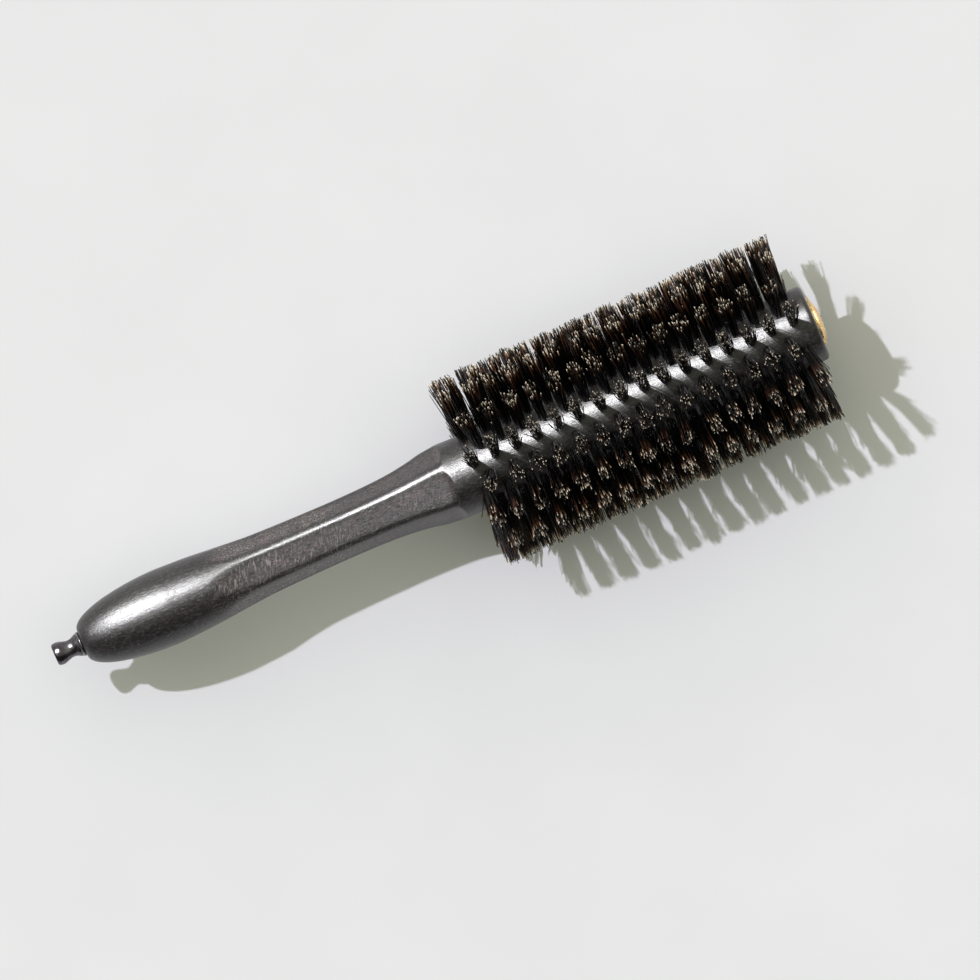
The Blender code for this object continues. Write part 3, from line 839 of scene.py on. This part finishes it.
def shine_on(name, place, power, *pieces):
    """A hard light that shows only as a highlight, and only on some pieces. The others still shade them."""
    shine = area_light(name, "DISK", place, SHINE_SIZE, power, SHINE_COLOUR)
    shine.visible_diffuse = False
    lit = bpy.data.collections.new(name)
    for piece in pieces:
        lit.objects.link(piece)
    shine.light_linking.receiver_collection = lit


def area_light(name, shape, place, size, power, colour):
    """A light aimed at the middle of the brush."""
    light = bpy.data.lights.new(name, "AREA")
    light.shape = shape
    light.size, light.size_y = size
    light.energy = power
    light.color = colour
    made = bpy.data.objects.new(name, light)
    made.location = place
    aim = Vector((0.0, 0.0, AXIS_Z)) - made.location
    made.rotation_euler = aim.to_track_quat("-Z", "Y").to_euler()
    made.visible_camera = False
    bpy.context.scene.collection.objects.link(made)
    return made


def build_surroundings():
    """A studio that is pale above and behind the brush and dark in front of it and at its handle's end."""
    world = bpy.data.worlds.new("studio")
    bpy.context.scene.world = world
    world.use_nodes = True
    tree = world.node_tree
    place = tree.nodes.new("ShaderNodeTexCoord")
    towards = tree.nodes.new("ShaderNodeVectorMath")
    towards.operation = "DOT_PRODUCT"
    tree.links.new(place.outputs["Generated"], towards.inputs[0])
    towards.inputs[1].default_value = Vector(SKY_TOWARDS).normalized()
    share = tree.nodes.new("ShaderNodeMapRange")
    share.interpolation_type = "SMOOTHSTEP"
    tree.links.new(towards.outputs["Value"], share.inputs["Value"])
    for name, setting in zip(("From Min", "From Max", "To Min", "To Max"), SKY_EDGES + SKY_STRENGTHS):
        share.inputs[name].default_value = setting
    background = tree.nodes["Background"]
    background.inputs["Color"].default_value = SKY_COLOUR
    tree.links.new(share.outputs["Result"], background.inputs["Strength"])


def build_camera():
    """Straight down through a long lens, with the brush's axis rising to the right."""
    scene = bpy.context.scene
    camera = bpy.data.cameras.new("camera")
    camera.sensor_width = SENSOR_WIDTH
    camera.lens = SENSOR_WIDTH * CAMERA_ABOVE_AXIS / SEEN_WIDTH
    camera.clip_end = 50.0
    made = bpy.data.objects.new("camera", camera)
    made.location = (*CAMERA_CENTRE, AXIS_Z + CAMERA_ABOVE_AXIS)
    made.rotation_euler = (0.0, 0.0, CAMERA_TURN)
    scene.collection.objects.link(made)
    scene.camera = made
    scene.view_settings.view_transform = "Standard"


def attach(piece, look, body, slot, *nodes):
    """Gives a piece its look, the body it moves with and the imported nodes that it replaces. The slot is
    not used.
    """
    piece.data.materials.append(look)
    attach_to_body(piece, body)
    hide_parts(*nodes)


def main():
    build_camera()
    build_stage()
    body = wood_body()
    attach(body, ebonised_wood(), "brush", "ebonised_wood", "wood_body")
    bristle = boar_bristle()
    for row in range(ROWS):
        node = f"bristle_row_{row + 1:02d}"
        attach(bristle_row(row), bristle, "brush", "boar_bristle", node)
    disc = medallion()
    attach(disc, gold(), "brush", "gold_finish", "end_medallion")
    shine_on("glint", GLINT_PLACE, GLINT_POWER, disc)
    attach(pad(), adhesive_foam(), "brush", "adhesive_foam", "medallion_pad")
    attach(ferrule(), polished_steel(), "brush", "polished_steel", "end_ferrule")
    pull = knob()
    attach(pull, black_nickel(), "pick", "black_nickel", "pick_knob")
    shine_on("shine", SHINE_PLACE, SHINE_POWER, body, pull)
    attach(pin(), pin_steel(), "pick", "pin_steel", "pick_pin")
    attach(grip_sleeve(), nylon(), "pick", "nylon", "pick_grip_sleeve")


main()
